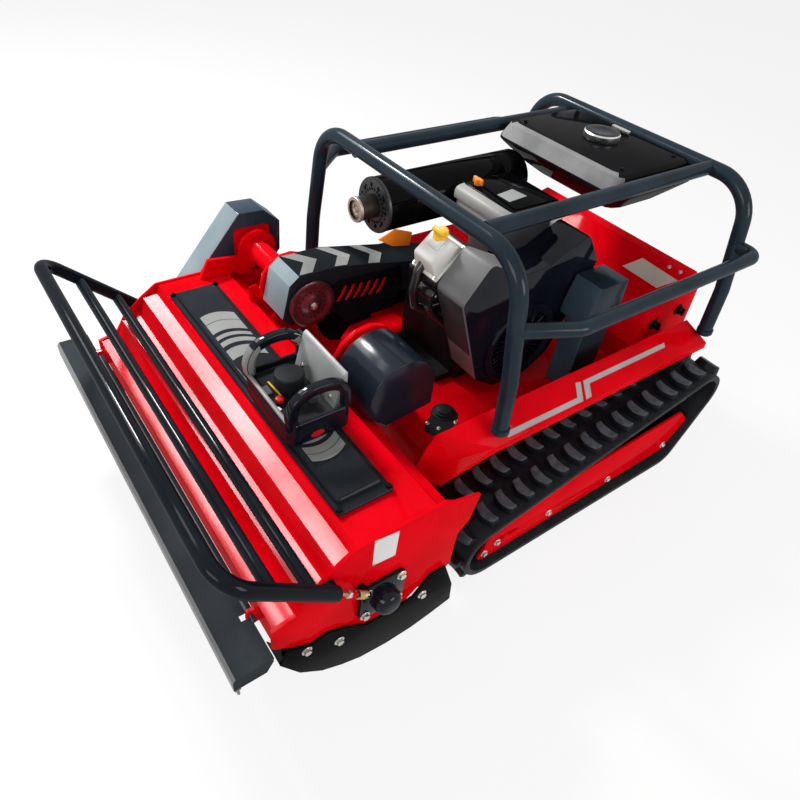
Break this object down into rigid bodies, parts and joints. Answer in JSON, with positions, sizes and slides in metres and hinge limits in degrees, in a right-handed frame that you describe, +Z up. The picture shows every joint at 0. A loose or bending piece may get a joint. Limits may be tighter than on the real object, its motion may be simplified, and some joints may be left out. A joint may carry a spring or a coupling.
{
  "type": "remote-controlled brush cutter",
  "caption": "Tracked remote-controlled brush cutter: rubber tracks, roll cage over a V-twin engine, side belt drive, and a flail head with skids, push bar and a handheld remote.",
  "frame": {"origin": "middle of the whole footprint, at ground level under the tracks", "axes": "+Z up, -Y towards the flail head and the way the machine travels, +X towards the machine's left side"},
  "size_m": [1.1546, 1.6398, 0.9183],
  "materials": {
    "red_paint": "gloss powder coat",
    "slate_paint": "semi-gloss powder coat",
    "black_paint": "satin",
    "track_rubber": "moulded, matte",
    "bright_steel": "brushed",
    "cast_aluminium": "as cast",
    "engine_black": "black coated casting",
    "grey_moulding": "moulded",
    "black_plastic": "moulded",
    "yellow_cap": "moulded",
    "orange_knob": "moulded",
    "red_plastic": "moulded"
  },
  "bodies": {
    "chassis": {"air_filter_case": "grey_moulding", "air_filter_lid": "black_plastic", "blower_housing": "grey_moulding", "cage_front_hoop": "slate_paint", "cage_rear_hoop": "slate_paint", "cage_side_bar_left": "slate_paint", "cage_side_bar_right": "slate_paint", "cage_top_rail_left": "slate_paint", "cage_top_rail_right": "slate_paint", "chassis_frame": "red_paint", "controller_tower": "slate_paint", "drive_guard": "slate_paint", "engine_block": "engine_black", "fan_screen": "black_paint", "fender_left": "red_paint", "fender_right": "red_paint", "fuel_tank": "black_plastic", "louvred_plate": "black_paint", "muffler": "black_paint", "muffler_guard": "bright_steel", "pivot_cover": "slate_paint", "rear_box": "red_paint", "track_belt_left": "track_rubber", "track_belt_right": "track_rubber", "track_frame_left": "black_paint", "track_frame_right": "black_paint", "track_side_plate_left": "red_paint", "track_side_plate_right": "red_paint", "valve_cover_front": "cast_aluminium", "valve_cover_rear": "cast_aluminium"},
    "sprocket_left": {"drive_sprocket_left": "bright_steel"},
    "idler_left": {"idler_wheel_left": "black_paint"},
    "roller_1_left": {"road_roller_1_left": "black_paint"},
    "roller_2_left": {"road_roller_2_left": "black_paint"},
    "roller_3_left": {"road_roller_3_left": "black_paint"},
    "sprocket_right": {"drive_sprocket_right": "bright_steel"},
    "idler_right": {"idler_wheel_right": "black_paint"},
    "roller_1_right": {"road_roller_1_right": "black_paint"},
    "roller_2_right": {"road_roller_2_right": "black_paint"},
    "roller_3_right": {"road_roller_3_right": "black_paint"},
    "head": {"head_housing": "red_paint", "side_belt_guard": "slate_paint", "head_cover": "black_paint", "skid_left": "black_paint", "skid_right": "black_paint", "bearing_hub_left": "black_paint", "push_bar": "slate_paint"},
    "rotor": {"flail_rotor": "black_paint"},
    "jackshaft": {"jackshaft": "black_paint"},
    "fan": {"cooling_fan": "black_plastic"},
    "flap": {"front_flap": "slate_paint"},
    "fuel_cap": {"fuel_cap": "bright_steel"},
    "oil_cap": {"oil_filler_cap": "yellow_cap"},
    "filter_knob": {"air_filter_knob": "orange_knob"},
    "switch_1": {"rear_switch_1": "black_plastic"},
    "switch_2": {"rear_switch_2": "black_plastic"},
    "remote": {"remote_body": "black_plastic"},
    "drive_knob": {"remote_drive_knob": "black_plastic"},
    "speed_knob": {"remote_speed_knob": "bright_steel"},
    "stop_button": {"remote_stop_button": "red_plastic"}
  },
  "joints": [
    {"name": "sprocket_left_spin", "type": "hinge", "parent": "chassis", "child": "sprocket_left", "pos_m": [0.4257, 0.698, 0.275], "axis": [1, 0, 0], "continuous": true},
    {"name": "idler_left_spin", "type": "hinge", "parent": "chassis", "child": "idler_left", "pos_m": [0.4257, -0.088, 0.113], "axis": [1, 0, 0], "continuous": true},
    {"name": "roller_1_left_spin", "type": "hinge", "parent": "chassis", "child": "roller_1_left", "pos_m": [0.4257, 0.145, 0.083], "axis": [1, 0, 0], "continuous": true},
    {"name": "roller_2_left_spin", "type": "hinge", "parent": "chassis", "child": "roller_2_left", "pos_m": [0.4257, 0.397, 0.083], "axis": [1, 0, 0], "continuous": true},
    {"name": "roller_3_left_spin", "type": "hinge", "parent": "chassis", "child": "roller_3_left", "pos_m": [0.4257, 0.649, 0.083], "axis": [1, 0, 0], "continuous": true},
    {"name": "sprocket_right_spin", "type": "hinge", "parent": "chassis", "child": "sprocket_right", "pos_m": [-0.3883, 0.698, 0.275], "axis": [1, 0, 0], "continuous": true},
    {"name": "idler_right_spin", "type": "hinge", "parent": "chassis", "child": "idler_right", "pos_m": [-0.3883, -0.088, 0.113], "axis": [1, 0, 0], "continuous": true},
    {"name": "roller_1_right_spin", "type": "hinge", "parent": "chassis", "child": "roller_1_right", "pos_m": [-0.3883, 0.145, 0.083], "axis": [1, 0, 0], "continuous": true},
    {"name": "roller_2_right_spin", "type": "hinge", "parent": "chassis", "child": "roller_2_right", "pos_m": [-0.3883, 0.397, 0.083], "axis": [1, 0, 0], "continuous": true},
    {"name": "roller_3_right_spin", "type": "hinge", "parent": "chassis", "child": "roller_3_right", "pos_m": [-0.3883, 0.649, 0.083], "axis": [1, 0, 0], "continuous": true},
    {"name": "head_lift", "type": "hinge", "parent": "chassis", "child": "head", "pos_m": [0.0187, -0.242, 0.52], "axis": [-1, 0, 0], "range_deg": [-3, 25]},
    {"name": "rotor_spin", "type": "hinge", "parent": "head", "child": "rotor", "pos_m": [0.0187, -0.462, 0.262], "axis": [1, 0, 0], "continuous": true},
    {"name": "jackshaft_spin", "type": "hinge", "parent": "chassis", "child": "jackshaft", "pos_m": [-0.1513, -0.242, 0.52], "axis": [1, 0, 0], "continuous": true},
    {"name": "fan_spin", "type": "hinge", "parent": "chassis", "child": "fan", "pos_m": [0.1267, 0.158, 0.5], "axis": [1, 0, 0], "continuous": true},
    {"name": "flap_hinge", "type": "hinge", "parent": "head", "child": "flap", "pos_m": [0.0187, -0.73, 0.334], "axis": [-1, 0, 0], "range_deg": [0, 80]},
    {"name": "fuel_cap_twist", "type": "hinge", "parent": "chassis", "child": "fuel_cap", "pos_m": [0.0187, 0.538, 0.8983], "axis": [0, 0, 1], "range_deg": [0, 180]},
    {"name": "oil_cap_twist", "type": "hinge", "parent": "chassis", "child": "oil_cap", "pos_m": [0.0802, -0.02955, 0.77641], "axis": [0, -0.6428, 0.766], "range_deg": [0, 180]},
    {"name": "filter_knob_twist", "type": "hinge", "parent": "chassis", "child": "filter_knob", "pos_m": [-0.0213, 0.156, 0.8226], "axis": [0, 0, 1], "range_deg": [0, 180]},
    {"name": "switch_1_turn", "type": "hinge", "parent": "chassis", "child": "switch_1", "pos_m": [0.319, 0.633, 0.455], "axis": [1, 0, 0], "range_deg": [0, 90]},
    {"name": "switch_2_turn", "type": "hinge", "parent": "chassis", "child": "switch_2", "pos_m": [0.319, 0.743, 0.47], "axis": [1, 0, 0], "range_deg": [0, 90]},
    {"name": "remote_lift_off", "type": "slide", "parent": "head", "child": "remote", "axis": [0, 0, 1], "range_m": [0, 0.3]},
    {"name": "drive_knob_turn", "type": "hinge", "parent": "remote", "child": "drive_knob", "pos_m": [0.1427, -0.464, 0.5346], "axis": [0, 0, 1], "range_deg": [-135, 135]},
    {"name": "speed_knob_turn", "type": "hinge", "parent": "remote", "child": "speed_knob", "pos_m": [0.1967, -0.44, 0.5346], "axis": [0, 0, 1], "range_deg": [-135, 135]},
    {"name": "stop_button_press", "type": "slide", "parent": "remote", "child": "stop_button", "axis": [0, 0, -1], "range_m": [0, 0.003], "stiffness_N_per_m": 300, "springref_m": -0.002}
  ],
  "couplings": [
    {"joint": "idler_left_spin", "follows": "sprocket_left_spin", "ratio": 1},
    {"joint": "roller_1_left_spin", "follows": "sprocket_left_spin", "ratio": 1.6977},
    {"joint": "roller_2_left_spin", "follows": "sprocket_left_spin", "ratio": 1.6977},
    {"joint": "roller_3_left_spin", "follows": "sprocket_left_spin", "ratio": 1.6977},
    {"joint": "idler_right_spin", "follows": "sprocket_right_spin", "ratio": 1},
    {"joint": "roller_1_right_spin", "follows": "sprocket_right_spin", "ratio": 1.6977},
    {"joint": "roller_2_right_spin", "follows": "sprocket_right_spin", "ratio": 1.6977},
    {"joint": "roller_3_right_spin", "follows": "sprocket_right_spin", "ratio": 1.6977},
    {"joint": "jackshaft_spin", "follows": "rotor_spin", "ratio": 1},
    {"joint": "fan_spin", "follows": "rotor_spin", "ratio": 1.1111}
  ]
}
